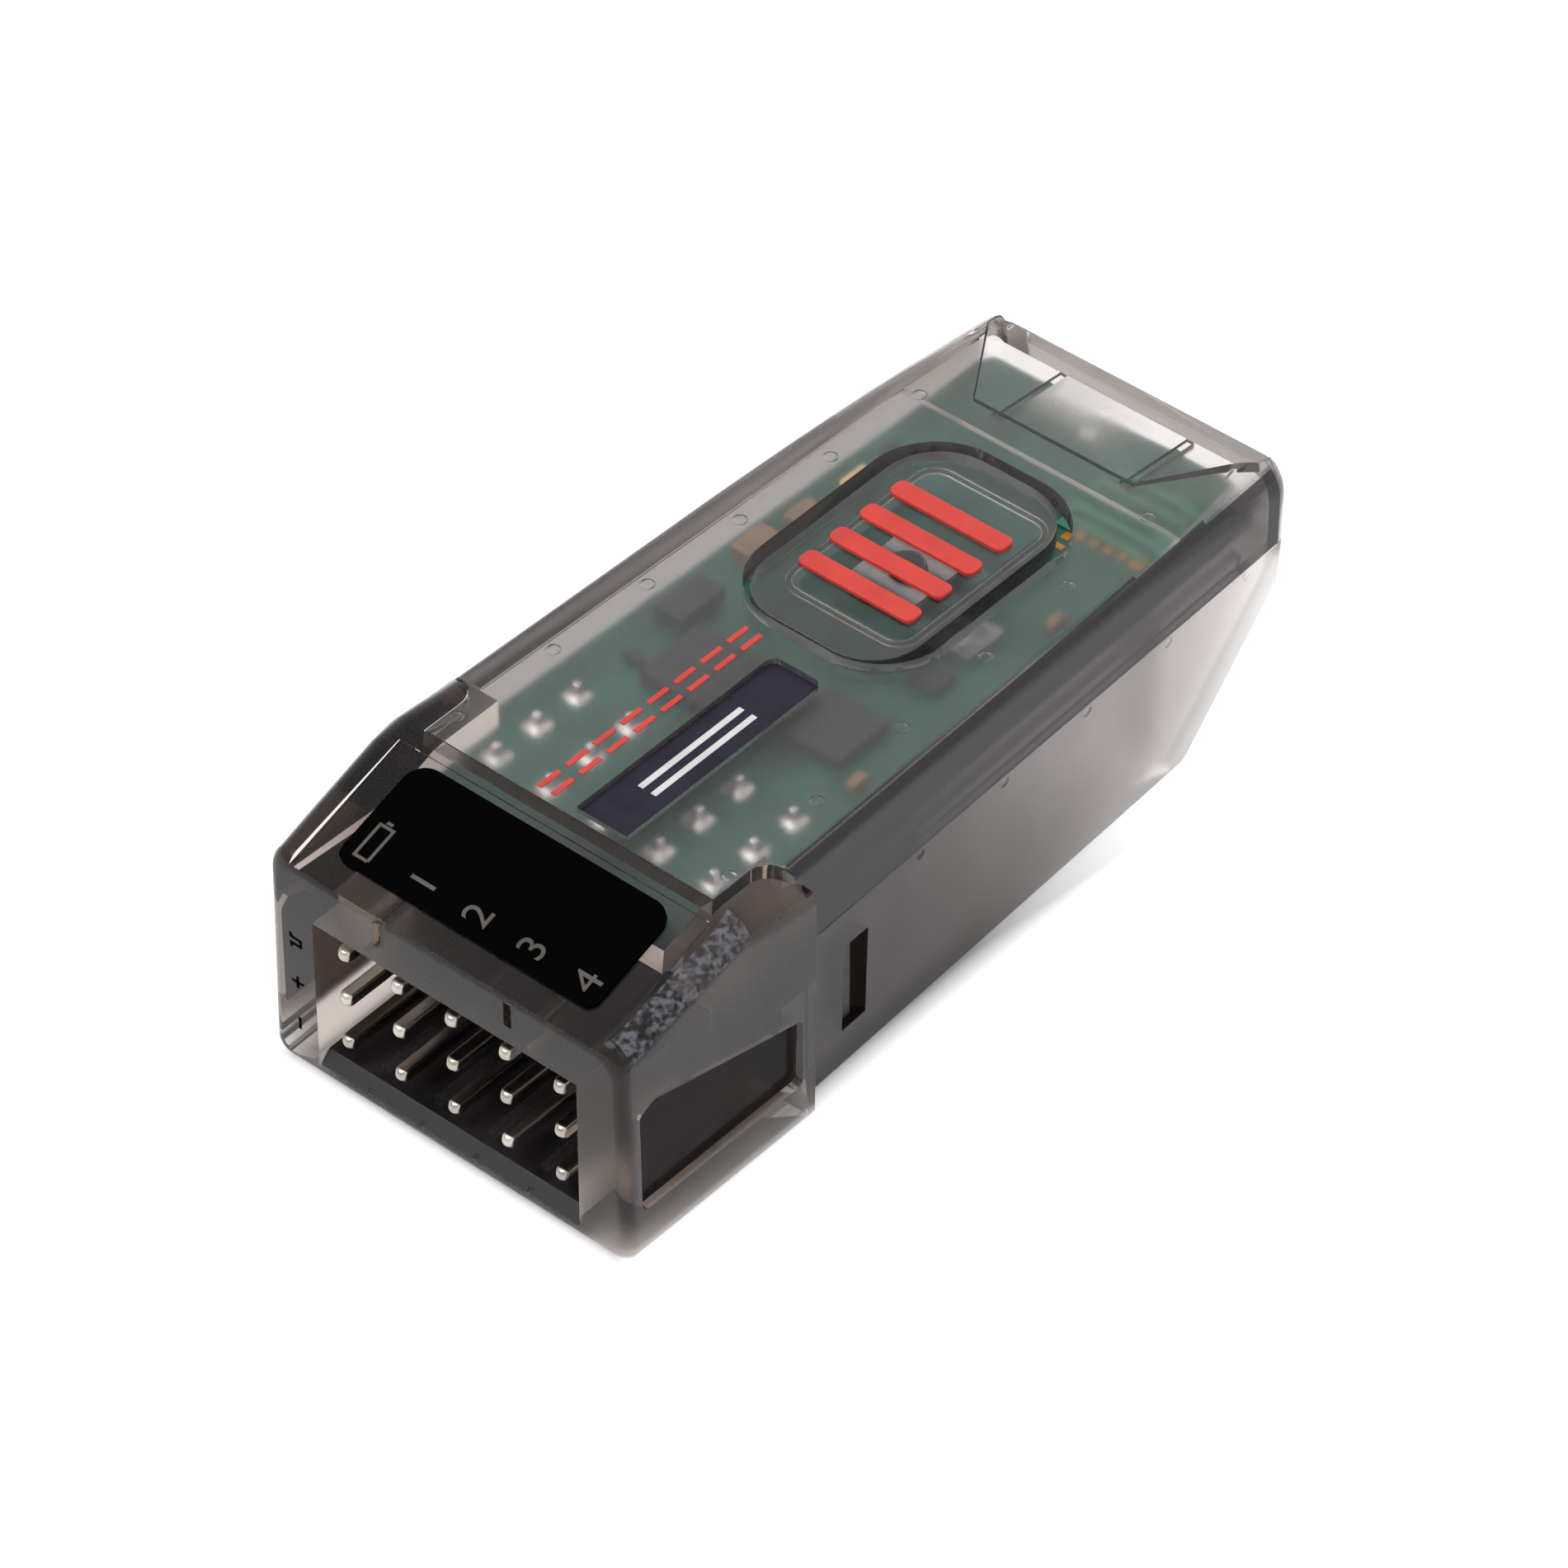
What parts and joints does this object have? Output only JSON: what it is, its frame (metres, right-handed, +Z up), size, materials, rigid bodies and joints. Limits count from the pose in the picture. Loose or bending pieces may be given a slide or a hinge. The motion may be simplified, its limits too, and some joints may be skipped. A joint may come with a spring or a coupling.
{
  "type": "rc receiver",
  "caption": "Radio control receiver in a smoked clear case, with servo ports in its nose and a bind button on top.",
  "frame": {"origin": "under the middle of the case, on the plane that it rests on", "axes": "+Z up, +Y along the case from the ports towards the rear end, +X to the right when looking along +Y"},
  "size_m": [0.0206, 0.0462, 0.0144],
  "materials": {
    "smoke_case": "smoked clear moulding with a soft gloss",
    "label_black": "satin printed label",
    "plate_slate": "satin dark slate label",
    "print_grey": "dim grey screen print",
    "print_white": "white screen print",
    "print_red": "red pad print",
    "board_green": "green solder mask",
    "header_black": "black moulded block",
    "pin_tin": "tinned square pin",
    "chip_black": "matt epoxy package",
    "shield_tin": "tinned cover",
    "lamp_amber": "clear lamp body",
    "ceramic_tan": "ceramic with tinned ends",
    "resistor_black": "thick film with tinned ends",
    "copper_gilt": "gilt copper track"
  },
  "bodies": {
    "case": {"front_shroud": "smoke_case", "top_cover": "smoke_case", "lower_case": "smoke_case", "port_label": "label_black", "nameplate": "plate_slate", "circuit_board": "board_green", "board_antenna": "copper_gilt", "header_block": "header_black", "ground_pin_1": "pin_tin", "ground_pin_2": "pin_tin", "ground_pin_3": "pin_tin", "ground_pin_4": "pin_tin", "ground_pin_5": "pin_tin", "power_pin_1": "pin_tin", "power_pin_2": "pin_tin", "power_pin_3": "pin_tin", "power_pin_4": "pin_tin", "power_pin_5": "pin_tin", "signal_pin_1": "pin_tin", "signal_pin_2": "pin_tin", "signal_pin_3": "pin_tin", "signal_pin_4": "pin_tin", "signal_pin_5": "pin_tin", "switch_base": "chip_black", "switch_cover": "shield_tin", "main_chip": "chip_black", "radio_chip": "chip_black", "antenna_switch": "chip_black", "voltage_regulator": "chip_black", "crystal": "shield_tin", "status_led": "lamp_amber", "input_capacitor": "ceramic_tan", "output_capacitor": "ceramic_tan", "filter_capacitor_1": "ceramic_tan", "filter_capacitor_2": "ceramic_tan", "filter_capacitor_3": "ceramic_tan", "resistor_1": "resistor_black", "resistor_2": "resistor_black", "resistor_3": "resistor_black", "resistor_4": "resistor_black"},
    "button": {"bind_button": "smoke_case"},
    "plunger": {"switch_plunger": "chip_black"}
  },
  "joints": [
    {"name": "bind_button_hinge", "type": "hinge", "parent": "case", "child": "button", "pos_m": [0, -0.00018, 0.01365], "axis": [-1, 0, 0], "range_deg": [0, 2], "stiffness_Nm_per_rad": 0.4},
    {"name": "switch_plunger_slide", "type": "slide", "parent": "case", "child": "plunger", "axis": [0, 0, -1], "range_m": [0, 0.00026]}
  ],
  "couplings": [
    {"joint": "switch_plunger_slide", "follows": "bind_button_hinge", "m_per_rad": 0.00708}
  ]
}
